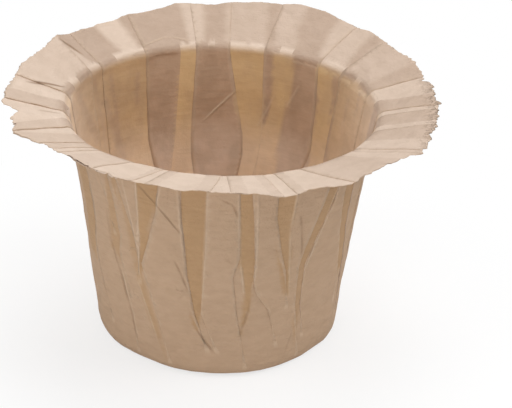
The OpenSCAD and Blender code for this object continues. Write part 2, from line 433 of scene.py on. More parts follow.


# Where single paper shows on the outside of the front, painted darker and ochre as shade
OUTSIDE_TONES = (
    TonePatch(
        ((-68, 0.14), (-60, 0.14), (-58.5, 0.26), (-60, 0.42), (-62, 0.52), (-63, 0.6), (-68, 0.55)),
        0.8,
    ),
    TonePatch(
        ((-46, 0.08), (-41.8, 0.08), (-41.5, 0.25), (-42.5, 0.35), (-45, 0.52), (-49.5, 0.47),
         (-48.5, 0.3)),
        0.7,
    ),
    TonePatch(
        ((-41.5, 0.1), (-38, 0.1), (-34, 0.45), (-35, 0.62), (-37.6, 0.48), (-38.6, 0.36), (-40.5, 0.2)),
        0.6,
    ),
    TonePatch(
        ((-31.3, 0.05), (-21, 0.05), (-23, 0.19), (-26.5, 0.27), (-29, 0.4), (-32, 0.52), (-35.2, 0.6),
         (-33.7, 0.45), (-32, 0.26)),
    ),
    # A painted shadow in the hollow below the window's tip
    TonePatch(
        ((-36, 0.56), (-33.5, 0.53), (-30, 0.66), (-22.5, 0.95), (-27, 0.86), (-32, 0.74)),
        0.75,
        1.2,
    ),
    TonePatch(
        ((-15, 0.05), (-4.3, 0.05), (-4.5, 0.32), (-5.3, 0.5), (-6.2, 0.65), (-7.6, 0.78), (-10, 0.74),
         (-14, 0.5)),
    ),
    TonePatch(
        ((6.5, 0.05), (13, 0.05), (15.5, 0.3), (15.8, 0.6), (13.5, 0.67), (10.2, 0.79), (11.2, 0.66),
         (11.4, 0.56), (9.6, 0.46), (8, 0.42)),
    ),
    TonePatch(
        ((20, 0.05), (28.9, 0.05), (28.2, 0.22), (27.9, 0.3), (30, 0.42), (31.4, 0.62), (28, 0.6),
         (21, 0.3)),
        0.9,
    ),
    TonePatch(
        ((46, 0.05), (52, 0.05), (48.8, 0.2), (44.5, 0.34), (40.5, 0.42), (38, 0.5), (34, 0.47),
         (41, 0.2)),
        0.9,
    ),
    TonePatch(((33.5, 0.48), (38.3, 0.48), (38.7, 0.75), (38.6, 0.9), (35.5, 0.77)), 0.65, 1.2),
    TonePatch(
        ((52.5, 0.05), (63, 0.05), (62, 0.27), (63.5, 0.38), (66, 0.5), (67, 0.6), (62, 0.64), (56, 0.4)),
        0.9,
    ),
)

# Tones of the inside and of the top of the flange, laid over each other in this order. Tone 1 paints the
# golden light that shines through single paper.
INSIDE_TONES = (
    # The back of the flange, painted dark as shade, with its stripes kept at lowered tones, also painted
    # shade.
    TonePatch(((117, -0.6), (250, -0.6), (250, -0.012), (117, -0.012)), 0.0, 1.5),
    TonePatch(
        ((222.3, -0.4), (213.9, -0.4), (213.5, -0.2), (213, -0.01), (219.6, -0.01), (221.3, -0.12)),
        0.8,
        2.0,
    ),
    TonePatch(
        ((193.4, -0.4), (186.3, -0.4), (186.6, -0.09), (187.6, -0.01), (193, -0.01), (193.1, -0.11)),
        0.6,
        2.0,
    ),
    TonePatch(((180, -0.4), (168, -0.4), (166.4, -0.17), (163.6, -0.01), (179.5, -0.01)), 0.35, 2.0),
    TonePatch(
        ((163.5, -0.4), (156.6, -0.4), (155.2, -0.14), (151.9, -0.02), (160.5, -0.02), (162.7, -0.15)),
        0.4,
        2.0,
    ),
    TonePatch(
        ((146.3, -0.4), (132.2, -0.4), (131.6, -0.16), (128.2, -0.01), (142.1, -0.02), (144.5, -0.16)),
        0.5,
        2.0,
    ),
    TonePatch(((129.5, -0.4), (112, -0.4), (112, -0.01), (126, -0.01)), 0.35, 1.5),
    TonePatch(((265, -0.4), (238.5, -0.4), (236, -0.01), (265, -0.01)), 0.6, 1.2),
    TonePatch(((188.5, 0), (180.6, 0), (179.5, 0.2), (176.5, 0.45), (176, 0.95), (189, 0.95)), 0.0),
    TonePatch(
        ((160.6, 0.005), (151, 0.005), (150.4, 0.16), (152, 0.25), (153.5, 0.39), (154.7, 0.65),
         (162.8, 0.65), (162.2, 0.37), (159.3, 0.27), (158.8, 0.17)),
    ),
    TonePatch(
        ((176, 0.21), (163, 0.19), (162.2, 0.37), (160.9, 0.65), (168.3, 0.65), (169.9, 0.42),
         (172.1, 0.33)),
    ),
    TonePatch(
        ((150.6, 0.005), (140.5, 0.005), (137.5, 0.16), (136.9, 0.39), (139, 0.65), (151.3, 0.65),
         (151.6, 0.39), (150.3, 0.25), (150, 0.16)),
        0.0,
    ),
    TonePatch(
        ((140, 0.005), (128, 0.005), (126.7, 0.12), (128.5, 0.27), (133.1, 0.4), (137.2, 0.44),
         (136.8, 0.21)),
    ),
    TonePatch(
        ((262, 0.02), (223, 0.005), (211.5, 0.005), (212.2, 0.21), (216.8, 0.43), (232, 0.48),
         (262, 0.4)),
        0.72,
        1.2,
    ),
    TonePatch(((230, 0.05), (228.6, 0.05), (227, 0.3), (229, 0.36)), 0.25),
    TonePatch(((240, 0.03), (238, 0.03), (235.5, 0.3), (238, 0.36)), 0.4),
    TonePatch(((236, 0.16), (232.5, 0.15), (224.5, 0.45), (228.5, 0.5)), 0.3),
    TonePatch(((254, 0.05), (250, 0.05), (240, 0.3), (244, 0.33)), 0.4),
    TonePatch(((216.4, 0.08), (214.6, 0.08), (216.1, 0.22), (218.1, 0.22)), 0.3),
    TonePatch(((126.8, 0.005), (96, 0.02), (96, 0.4), (126.3, 0.42)), 0.72, 1.2),
    TonePatch(((131.2, 0.03), (127.8, 0.02), (127.3, 0.13), (128.9, 0.25)), 0.2),
    TonePatch(((113.8, 0), (111.4, 0), (111.9, 0.2)), 0.15),
    TonePatch(((120.5, 0.1), (118.5, 0.08), (119.5, 0.34)), 0.4),
)


@dataclass(frozen=True)
class LooseCorner:
    """A corner of the lower layers that hangs out from under the flange.

    Attributes:
        angle: the middle of the corner, in degrees.
        reach: half its width, in degrees.
        drop: how far it hangs out.
        band: how far in from the torn edge it bends.
        out_share: share of the drop that goes outwards.
        down_share: share of it that goes down.
    """

    angle: float
    reach: float
    drop: float
    band: float = 3.0 * MM
    out_share: float = 0.5
    down_share: float = 0.8


LOOSE_CORNERS = (
    LooseCorner(-37.0, 5.0, 0.25 * MM),
    LooseCorner(-28.0, 4.0, 0.3 * MM),
)


@dataclass(frozen=True)
class RimPush:
    """A stretch of the torn edge that reaches further out, or less far.

    Attributes:
        angle: the middle of the stretch, in degrees.
        reach: half its width, in degrees.
        push: how far the edge moves out.
    """

    angle: float
    reach: float
    push: float


RIM_PUSHES = (
    RimPush(57.5, 4.5, 1.3 * MM),
    RimPush(-66.0, 5.0, -0.7 * MM),
    RimPush(-73.5, 2.5, -1.2 * MM),
    RimPush(-79.0, 3.0, 0.7 * MM),
    RimPush(102.0, 2.0, -0.8 * MM),
    RimPush(-10.0, 3.5, 0.35 * MM),
    RimPush(13.0, 4.0, 0.6 * MM),
    RimPush(31.0, 5.0, 0.6 * MM),
    RimPush(84.0, 2.5, 0.3 * MM),
    RimPush(-54.0, 7.0, -0.8 * MM),
)


@dataclass(frozen=True)
class SideNudge:
    """A place where the folds are pushed sideways around the wall.

    Attributes:
        spot: angle and share of the way down of its middle.
        shift: how far it is pushed, in degrees.
        reach: how far the push spreads, in degrees and in share of the way down.
    """

    spot: Spot
    shift: float
    reach: Spot

    def turn(self, angle: np.ndarray, down: np.ndarray) -> np.ndarray:
        """How far each point is turned around the cup.

        Args:
            angle: angle of each point around the cup, in degrees.
            down: share of the way down of each point.

        Returns:
            An angle in degrees for each point.
        """
        aside = (angle - self.spot[0]) / self.reach[0]
        apart = (down - self.spot[1]) / self.reach[1]
        return self.shift * np.exp(-(aside**2 + apart**2))


SIDE_NUDGES = (SideNudge((17.5, 0.585), -2.4, (4.0, 0.08)),)


@dataclass(frozen=True)
class CellCutter:
    """Cuts a mesh of long patches into small cells by halving every long edge.

    Attributes:
        longest: longest edge a cell may have.
        rim_longest: longest edge along the torn edge.
        rim_band: how far in from the torn edge that holds.
        passes: how often the edges are gone through.
        speck: cells smaller than this are cleaned away.
    """

    longest: float = 1.12 * MM
    rim_longest: float = 0.45 * MM
    rim_band: float = 0.9 * MM
    passes: int = 6
    speck: float = 0.001 * MM

    def cut(self, bm: bmesh.types.BMesh) -> None:
        """Halves the long edges until none is left.

        Args:
            bm: the mesh to cut.
        """
        for _ in range(self.passes):
            self.triangulate(bm)
            radius, turn = polar(np.array([vert.co for vert in bm.verts]))
            bm.verts.index_update()
            at_rim = CupForm.edge_radius(turn, radius) - radius < self.rim_band
            long = []
            for edge in bm.edges:
                fine = all(at_rim[vert.index] for vert in edge.verts)
                if edge.calc_length() > (self.rim_longest if fine else self.longest):
                    long.append(edge)
            bmesh.ops.subdivide_edges(bm, edges=long, cuts=1, use_grid_fill=True)
        self.triangulate(bm)
        bmesh.ops.dissolve_degenerate(bm, edges=bm.edges, dist=self.speck)

    @staticmethod
    def triangulate(bm: bmesh.types.BMesh) -> None:
        """Cuts every cell with more than three corners into triangles."""
        wide = [face for face in bm.faces if len(face.verts) > 3]
        bmesh.ops.triangulate(bm, faces=wide, quad_method="BEAUTY", ngon_method="BEAUTY")


@dataclass
class FoldedSheet:
    """The filter itself: one sheet, folded, pressed, crumpled and torn.

    Tables hold pairs: an angle in degrees, unless something else is said, and a value.

    Attributes:
        form: the cup's profile.
        base_cell: spacing of the cuts across the flat base.
        wall_press: share of the folded stack's depth that is left on the wall.
        flange_press: share of it that is left on the flange.
        inner_press: how much of the wall's share is left to the inside face.
        wall_room: thickness given back between the two open faces on the wall.
        flange_room: thickness given back between them on the flange.
        even_tone: tone that the front of the flange comes to, paler at the front and left and darker towards
            the right, as painted light and shade.
        evenness: how far it comes to that tone, by the angle to either side.
        front_reach: how far the front reaches to either side, in degrees.
        side_tone: tone of single paper on the outside past the front, by share of the way down, which the
            finish paints as shade.
        stacked_from: layers past the first at which paper counts as stacked.
        line_reach: how far from a crease its line may still be drawn.
        line_fade: length over which it ends there.
        dent: depth of the soft dents in the wall.
        crumple: depth of the small crumples.
        flange_ripple: depth of the ripples that run out across the flange.
        ripple_start: length over which they start at the throat.
        teeth: how far the torn fibres reach in and out.
        tear_band: how far in from the torn edge the teeth reach.
        raggedness: how ragged the torn edge is, against the teeth.
        push_band: how far in the pushes on the torn edge are felt.
        fray: share of loose fibres along the torn edge.
        fray_band: how far in from it they lie.
        lower_from: faces above a cell from which it is one of the lower layers.
    """

    form: CupForm
    base_cell: float = 1.5 * MM
    wall_press: tuple[Spot, ...] = ((-93, 0.2), (-68, 0.45), (-20, 0.42), (68, 0.36), (93, 0.2))
    flange_press: tuple[Spot, ...] = (
        (-125, 0.06), (-105, 0.4), (-65, 0.35), (-50, 0.09), (60, 0.1), (100, 0.14), (125, 0.06)
    )
    inner_press: float = 0.25
    wall_room: float = 0.07 * MM
    flange_room: float = 0.11 * MM
    even_tone: tuple[Spot, ...] = ((-120, 0.95), (-10, 0.95), (20, 0.8), (60, 0.5), (100, 0.3), (120, 0.4))
    evenness: tuple[Spot, ...] = ((0, 0.8), (60, 0.7), (100, 0.5), (120, 0.0))
    front_reach: float = 70.0
    side_tone: tuple[Spot, ...] = ((0.37, 0.8), (0.62, 0.0))
    stacked_from: float = 1.5
    line_reach: float = 1.6 * MM
    line_fade: float = 0.4 * MM
    dent: float = 0.16 * MM
    crumple: float = 0.06 * MM
    flange_ripple: float = 0.14 * MM
    ripple_start: float = 4.0 * MM
    teeth: float = 0.16 * MM
    tear_band: float = 0.9 * MM
    raggedness: tuple[Spot, ...] = (
        (-143.5, 0.6), (-98.5, 1.4), (-71.5, 1.4), (-26.5, 0.6),
        (26.5, 0.6), (71.5, 2.0), (98.5, 2.0), (143.5, 0.6)
    )
    push_band: float = 6.0 * MM
    fray: tuple[Spot, ...] = ((48, 0.0), (68, 1.0), (92, 1.0), (112, 0.0))
    fray_band: float = 2.4 * MM
    lower_from: float = 1.5

    def build(self, node: bpy.types.Object) -> bpy.types.Object:
        """Makes the dressed sheet from the frame's node.

        Args:
            node: the frame's folded sheet, which is left as it is.

        Returns:
            The new object.
        """
        bm = bmesh.new()
        bm.from_mesh(node.data)
        bmesh.ops.remove_doubles(bm, verts=bm.verts, dist=MERGE_DISTANCE)
        self.grid_base(bm)
        CellCutter().cut(bm)
        self.count_layers(bm)
        self.write_map(bm)
        self.shape(bm)
        mesh = bpy.data.meshes.new("paper_sheet")
        bm.to_mesh(mesh)
        bm.free()
        for face in mesh.polygons:
            face.use_smooth = True
        mesh.set_sharp_from_angle(angle=SMOOTH_BELOW)
        sheet = bpy.data.objects.new("paper_sheet", mesh)
        bpy.context.scene.collection.objects.link(sheet)
        log.info("paper_sheet: %d faces, %d corners", len(mesh.polygons), len(mesh.loops))
        return sheet

    def grid_base(self, bm: bmesh.types.BMesh) -> None:
        """Turns the two flat faces of the base into one even grid each.

        Args:
            bm: the merged mesh of the sheet.
        """
        steps = int(self.form.foot_r / self.base_cell)
        for level in (0.0, self.form.paper):
            flat = {vert for vert in bm.verts if abs(vert.co.z - level) < FLAT_TOLERANCE}
            disc = [face for face in bm.faces if flat.issuperset(face.verts)]
            disc = bmesh.ops.dissolve_faces(bm, faces=disc, use_verts=False)["region"]
            for axis in (Vector((1.0, 0.0, 0.0)), Vector((0.0, 1.0, 0.0))):
                for step in range(-steps, steps + 1):
                    parts = set(disc)
                    parts.update(edge for face in disc for edge in face.edges)
                    parts.update(vert for face in disc for vert in face.verts)
                    place = axis * (step * self.base_cell)
                    cut = bmesh.ops.bisect_plane(
                        bm, geom=list(parts), plane_co=place, plane_no=axis, dist=CUT_TOLERANCE
                    )
                    disc = [item for item in cut["geom"] if isinstance(item, bmesh.types.BMFace)]

    def count_layers(self, bm: bmesh.types.BMesh) -> None:
        """Stores on each cell how it lies in the folded stack.

        These are its side of the sheet, the number of layers there, the number of faces above it, and
        its rank: 0 open to the inside, 1 open to the outside, and half way where it is covered.

        Args:
            bm: the sheet, cut into cells.
        """
        side, layers, above, rank = (
            bm.faces.layers.float.new(name) for name in ("side", "layers", "above", "rank")
        )
        tree = BVHTree.FromBMesh(bm)
        centres = np.array([face.calc_center_median() for face in bm.faces])
        for face, way in zip(bm.faces, self.form.lie(centres)[1]):
            way = Vector(way)
            face[side] = (Face.OUTSIDE if face.normal.dot(way) > 0 else Face.INSIDE).value
            inward, outward = (self.count_faces(tree, face, ray) for ray in (-way, way))
            face[above] = inward
            face[rank] = 0.5 if min(inward, outward) > 0 else face[side] == Face.OUTSIDE.value
            face[layers] = (inward + outward + 1) / 2

    def count_faces(self, tree: BVHTree, face: bmesh.types.BMFace, ray: Vector) -> int:
        """Counts the faces that cover a cell on one side, within the depth of the stack.

        Args:
            tree: all the cells.
            face: the cell.
            ray: the way to look, one unit long.

        Returns:
            The number of faces met.
        """
        spot = face.calc_center_median() + ray * RAY_NUDGE
        left = self.form.stack + RAY_ROOM
        hits = 0
        while left > 0:
            hit, _, _, distance = tree.ray_cast(spot, ray, left)
            if hit is None:
                break
            hits += 1
            left -= distance + RAY_NUDGE
            spot = hit + ray * RAY_NUDGE
        return hits

    def write_map(self, bm: bmesh.types.BMesh) -> None:
        """Writes the two maps that the finish reads.

        The first holds thinness, whose tone the finish paints as shade outside and as light shining through
        inside, side of the sheet, folds, for their painted highlight and wear, and fraying, and the second
        the crease lines.

        Args:
            bm: the sheet, cut into cells.
        """
        side = bm.faces.layers.float["side"]
        layers = bm.faces.layers.float["layers"]
        paint = bm.loops.layers.float_color.new(LAYER_MAP)
        line_paint = bm.loops.layers.float_color.new(CREASE_MAP)
        bm.verts.index_update()
        points = np.array([vert.co for vert in bm.verts])
        radius, turn = polar(points)
        angle, down = np.degrees(turn), self.form.down(points)
        flange = self.form.lie(points)[2]
        along = np.where(flange > 0.5, (self.form.throat_r - radius) / self.form.throat_z, down)
        # Outside, single paper is painted darker and ochre as shade, along the front and down the sides.
        thin = np.where(np.abs(angle) > self.front_reach, read_off(self.side_tone, down), 0.0)
        for patch in OUTSIDE_TONES:
            thin = np.maximum(thin, patch.tone * patch.cover(angle, down))
        kept, painted = np.ones(len(points)), np.zeros(len(points))
        # Inside and on the flange's top, the patches paint golden light through single paper and painted
        # shade on the back of the flange.
        for patch in INSIDE_TONES:
            cover = patch.cover(angle, along)
            kept *= 1.0 - cover
            painted += (patch.tone - painted) * cover
        # Painted light and shade on the flange's top: pale at the front and left, darker towards the right.
        evenness = read_off(self.evenness, np.abs(angle)) * flange
        even_tone = read_off(self.even_tone, angle)
        edge_gap = self.form.edge_radius(turn, radius) - radius
        frayed = fade(edge_gap, self.fray_band) * read_off(self.fray, angle)
        lines = self.draw_creases(angle, along)
        folds = dict.fromkeys(bm.verts, 0)
        for edge in bm.edges:
            if len(edge.link_faces) == 2 and edge.calc_face_angle(0.0) > FOLD_ABOVE:
                for vert in edge.verts:
                    folds[vert] += 1
        for face in bm.faces:
            single = 1.0 - min(1.0, (face[layers] - 1.0) / self.stacked_from)
            outside = face[side] == Face.OUTSIDE.value
            for loop in face.loops:
                spot = loop.vert.index
                # Vertices on two or more sharp folds get the painted highlight and wear of a fold.
                lit_and_worn = 1.0 if folds[loop.vert] > 1 else 0.0
                if outside:
                    shown = single * thin[spot]
                else:
                    shown = single * kept[spot] + painted[spot]
                    shown += (even_tone[spot] - shown) * evenness[spot]
                loop[paint] = (shown, face[side], lit_and_worn, frayed[spot])
                loop[line_paint] = lines[spot]

    def draw_creases(self, angle: np.ndarray, along: np.ndarray) -> np.ndarray:
        """Finds the nearest crease line of each point, first of the dark ones, painted as shade, and then of
        the light ones, painted as highlight.

        Args:
            angle: angle of each point around the cup, in degrees.
            along: share of the way down of each point, negative on the flange.

        Returns:
            Four values for each point: how far it lies to the side of the nearest dark line, in
            millimetres, that line's strength, and the same two for the nearest light line.
        """
        lines = np.zeros((len(angle), 4))
        for column, sign in ((0, 1.0), (2, -1.0)):
            nearest = np.full(len(angle), np.inf)
            for crease in CREASES:
                if crease.line * sign <= 0.0:
                    continue
                gap, across, strength = crease.mark(angle, along, self.form)
                closer = gap < nearest
                nearest = np.where(closer, gap, nearest)
                lines[closer, column] = across[closer] / MM
                near = np.clip((self.line_reach - gap[closer]) / self.line_fade, 0.0, 1.0)
                lines[closer, column + 1] = strength[closer] * near
        return lines

    def shape(self, bm: bmesh.types.BMesh) -> None:
        """Presses and crumples the sheet, and tears its edge.

        Args:
            bm: the sheet, cut into cells.
        """
        form = self.form
        above = bm.faces.layers.float["above"]
        rank = bm.faces.layers.float["rank"]
        verts = list(bm.verts)
        points = np.array([vert.co for vert in verts])
        radius, turn = polar(points)
        angle, down = np.degrees(turn), form.down(points)
        depth, out, flange = form.lie(points)
        edge_gap = form.edge_radius(turn, radius) - radius
        ranks = np.array([np.mean([face[rank] for face in vert.link_faces]) for vert in verts])
        lower = np.array([min(face[above] for face in vert.link_faces) > self.lower_from for vert in verts])
        wall = (1.0 - flange) * np.clip(points[:, 2] / (2.0 * form.foot_bend_z), 0.0, 1.0)
        move = self.flatten(points, angle, flange, depth, ranks) + self.crease(points, angle, down, wall)
        past = np.clip((radius - form.throat_r) / self.ripple_start, 0.0, 1.0) * flange * self.flange_ripple
        move += past * ripple_of(angle, size_deg=7.0, seed=5)
        move += past * 0.6 * field_of(points, size=4.0 * MM, seed=17)
        points += out * move[:, None]
        turned = turn + np.radians(sum(nudge.turn(angle, down) for nudge in SIDE_NUDGES)) * wall
        reach = np.hypot(points[:, 0], points[:, 1])
        radial = np.stack([np.sin(turned), -np.cos(turned)], axis=1)
        outward, downward = self.tear(angle, edge_gap, lower)
        points[:, :2] = radial * (reach + outward * flange)[:, None]
        points[:, 2] -= downward * flange
        for vert, point in zip(verts, points):
            vert.co = point

    def flatten(
        self, points: np.ndarray, angle: np.ndarray, flange: np.ndarray, depth: np.ndarray, ranks: np.ndarray
    ) -> np.ndarray:
        """How far the folded stack is pressed flat.

        Args:
            points: positions, one to a row.
            angle: angle of each point around the cup, in degrees.
            flange: how far each point lies on the flange, from 0 to 1.
            depth: depth of each point in the stack.
            ranks: where each point stands in the stack, from 0 inside to 1 outside.

        Returns:
            How far each point moves out.
        """
        press = read_off(self.wall_press, angle) * (self.inner_press + (1.0 - self.inner_press) * ranks)
        press += (read_off(self.flange_press, angle) - press) * flange
        room = self.wall_room + (self.flange_room - self.wall_room) * flange
        above_foot = np.clip(points[:, 2] / self.form.foot_bend_z - 0.5, 0.0, 1.0)
        return (room * ranks - depth * (1.0 - press)) * above_foot

    def crease(
        self, points: np.ndarray, angle: np.ndarray, down: np.ndarray, wall: np.ndarray
    ) -> np.ndarray:
        """How far the wall's dents, crumples and listed creases stand out.

        Args:
            points: positions, one to a row.
            angle: angle of each point around the cup, in degrees.
            down: share of the way down of each point.
            wall: how far each point lies on the wall, from 0 to 1.

        Returns:
            How far each point moves out.
        """
        relief = self.dent * field_of(points, size=9.0 * MM, seed=3)
        relief += self.crumple * field_of(points * (1.0, 1.0, 1.6), size=3.2 * MM, seed=11)
        for crease in CREASES:
            relief += crease.press(angle, down, self.form)
        return wall * relief

    def tear(
        self, angle: np.ndarray, edge_gap: np.ndarray, lower: np.ndarray
    ) -> tuple[np.ndarray, np.ndarray]:
        """How the torn edge departs from the edge in the frame.

        Args:
            angle: angle of each point around the cup, in degrees.
            edge_gap: how far in from the torn edge each point lies.
            lower: whether each point belongs to the lower layers.

        Returns:
            How far each point moves out from the axis, and how far down.
        """
        pushes = sum(rim.push * fade(np.abs(angle - rim.angle), rim.reach) for rim in RIM_PUSHES)
        teeth = fade(edge_gap, self.tear_band) * self.teeth * read_off(self.raggedness, angle)
        ripples = ripple_of(angle, size_deg=1.2, seed=23) + 0.8 * ripple_of(angle, size_deg=0.7, seed=29)
        outward = fade(edge_gap, self.push_band) * pushes + teeth * ripples
        downward = -0.5 * teeth * ripple_of(angle, size_deg=1.6, seed=37)
        for corner in LOOSE_CORNERS:
            near = np.sqrt(fade(np.abs(angle - corner.angle), corner.reach))
            hang = corner.drop * near * lower * fade(edge_gap, corner.band)
            outward += corner.out_share * hang
            downward += corner.down_share * hang
        return outward, downward


def field_of(points: np.ndarray, size: float, seed: int) -> np.ndarray:
    """Smooth noise at each point.

    Args:
        points: positions, one to a row.
        size: size of the noise's features.
        seed: shifts the noise, so that each use has its own.

    Returns:
        A value for each point, mostly from -1 to 1.
    """
    shift = Vector([seed * step for step in SEED_STEPS])
    return np.array([noise.noise(Vector(point) / size + shift) for point in points]) * NOISE_GAIN


def ripple_of(angle: np.ndarray, size_deg: float, seed: int) -> np.ndarray:
    """Smooth noise that changes only around the cup.

    Args:
        angle: angle of each point, in degrees.
        size_deg: size of the noise's features, in degrees.
        seed: shifts the noise, so that each use has its own.

    Returns:
        A value for each point, mostly from -1 to 1.
    """
    turn = np.radians(angle)
    reach = DEGREES_IN_RADIAN / size_deg
    circle = np.stack([np.cos(turn) * reach, np.sin(turn) * reach, np.zeros_like(turn)], axis=1)
    return field_of(circle, 1.0, seed)


class Wiring:
    """Short calls for laying out a node tree."""

    def __init__(self, tree: bpy.types.NodeTree) -> None:
        """Keeps the tree that the calls work on."""
        self.tree = tree

    def add(self, kind: str, **values: object) -> bpy.types.Node:
        """Adds a node.

        Args:
            kind: the node's type name.
            values: attributes of the node, and inputs by socket name with spaces as underscores.

        Returns:
            The node.
        """
        node = self.tree.nodes.new(kind)
        for name, value in values.items():
            if hasattr(node, name):
                setattr(node, name, value)
            else:
                node.inputs[name.replace("_", " ")].default_value = value
        return node

    def link(self, source: bpy.types.NodeSocket, target: bpy.types.NodeSocket) -> None:
        """Joins an output to an input."""
        self.tree.links.new(source, target)

    def plug(self, value: object, target: bpy.types.NodeSocket) -> None:
        """Joins an output to an input, or sets the input where the value is a number or a colour."""
        if isinstance(value, bpy.types.NodeSocket):
            self.link(value, target)
        elif isinstance(value, tuple) and target.type == "RGBA":
            target.default_value = (*value, 1.0)
        else:
            target.default_value = value

    def blend(self, factor: object, first: object, second: object, mode: str = "MIX") -> bpy.types.NodeSocket:
        """Mixes two colours.

        Args:
            factor: a number or an output.
            first: a colour or an output.
            second: a colour or an output.
            mode: how they mix.

        Returns:
            The mixed colour.
        """
        node = self.add("ShaderNodeMix", data_type="RGBA", blend_type=mode)
        for index, value in ((0, factor), (6, first), (7, second)):
            self.plug(value, node.inputs[index])
        return node.outputs[2]

    def sum(self, mode: str, first: object, second: object) -> bpy.types.NodeSocket:
        """Does one sum with two numbers or outputs.

        Args:
            mode: the sum.
            first: a number or an output.
            second: a number or an output.

        Returns:
            The result.
        """
        node = self.add("ShaderNodeMath", operation=mode)
        self.plug(first, node.inputs[0])
        self.plug(second, node.inputs[1])
        return node.outputs[0]

    def ramp(self, source: bpy.types.NodeSocket, low: object, high: object) -> bpy.types.NodeSocket:
        """Turns a value into 0 at low and 1 at high, with soft ends.

        Args:
            source: the value.
            low: where the result is 0.
            high: where the result is 1.

        Returns:
            The result.
        """
        node = self.add("ShaderNodeMapRange", interpolation_type="SMOOTHSTEP")
        self.link(source, node.inputs[0])
        self.plug(low, node.inputs[1])
        self.plug(high, node.inputs[2])
        return node.outputs[0]

    def noise(self, source: bpy.types.NodeSocket, scale: float, detail: float = 3.0) -> bpy.types.NodeSocket:
        """Smooth noise from 0 to 1.

        Args:
            source: coordinates in metres.
            scale: features to a metre.
            detail: octaves.

        Returns:
            The noise.
        """
        node = self.add("ShaderNodeTexNoise", Scale=scale, Detail=detail)
        self.link(source, node.inputs["Vector"])
        return node.outputs["Fac"]

    def stretch(self, source: bpy.types.NodeSocket, scale: Triple) -> bpy.types.NodeSocket:
        """Scales coordinates along X, Y and Z.

        Args:
            source: the coordinates.
            scale: a factor for each.

        Returns:
            The new coordinates.
        """
        node = self.add("ShaderNodeMapping", Scale=scale)
        self.link(source, node.inputs["Vector"])
        return node.outputs["Vector"]


def srgb(red: int, green: int, blue: int) -> Colour:
    """A colour named in picture values, as a shader wants it.

    Args:
        red: 0 to 255.
        green: 0 to 255.
        blue: 0 to 255.

    Returns:
        The linear colour.
    """
    shares = (red / 255, green / 255, blue / 255)
    return tuple(share / 12.92 if share < 0.0405 else ((share + 0.055) / 1.055) ** 2.4 for share in shares)


def paper_grain_group() -> bpy.types.NodeTree:
    """Crepe wrinkles, fibres and mottling of the paper, as a tint, a roughness and a height.

    Returns:
        The node group.
    """
    group = bpy.data.node_groups.new("paper_grain", "ShaderNodeTree")
    group.interface.new_socket("Place", in_out="INPUT", socket_type="NodeSocketVector")
    for name, kind in (("Tint", "Color"), ("Roughness", "Float"), ("Height", "Float")):
        group.interface.new_socket(name, in_out="OUTPUT", socket_type="NodeSocket" + kind)
    wires = Wiring(group)
    place = wires.add("NodeGroupInput").outputs["Place"]
    out = wires.add("NodeGroupOutput")
    crepe = wires.noise(wires.stretch(place, (0.3, 0.3, 1.6)), scale=1000.0, detail=4.0)
    crumple = wires.noise(place, scale=420.0, detail=5.0)
    fibre = wires.noise(place, scale=4200.0, detail=2.0)
    mottle = wires.noise(wires.stretch(place, (0.5, 0.5, 1.0)), scale=900.0, detail=4.0)
    cloud = wires.noise(place, scale=90.0, detail=2.0)
    height = wires.sum("ADD", wires.sum("MULTIPLY", crepe, 0.8), wires.sum("MULTIPLY", crumple, 1.6))
    height = wires.sum("ADD", height, wires.sum("MULTIPLY", fibre, 0.2))
    wires.link(height, out.inputs["Height"])
    tint = wires.blend(wires.ramp(mottle, 0.3, 0.7), (0.965, 0.96, 0.95), (1.025, 1.027, 1.03))
    cloud_tint = wires.blend(wires.ramp(cloud, 0.3, 0.7), (0.98, 0.975, 0.965), (1.01, 1.01, 1.01))
    tint = wires.blend(1.0, tint, cloud_tint, "MULTIPLY")
    wires.link(tint, out.inputs["Tint"])
    wires.link(wires.sum("ADD", wires.sum("MULTIPLY", fibre, 0.15), 0.78), out.inputs["Roughness"])
    return group


def crease_line_group() -> bpy.types.NodeTree:
    """The line of the nearest crease, as a mask that is 1 on the line.

    Returns:
        The node group.
    """
    group = bpy.data.node_groups.new("crease_line", "ShaderNodeTree")
    for name in ("Side", "Strength", "Width"):
        group.interface.new_socket(name, in_out="INPUT", socket_type="NodeSocketFloat")
    group.interface.new_socket("Line", in_out="OUTPUT", socket_type="NodeSocketFloat")
    wires = Wiring(group)
    given = wires.add("NodeGroupInput").outputs
    aside = wires.sum("ABSOLUTE", given["Side"], 0.0)
    near = wires.ramp(aside, given["Width"], 0.0)
    out = wires.add("NodeGroupOutput")
    wires.link(wires.sum("MULTIPLY", near, given["Strength"]), out.inputs["Line"])
    return group


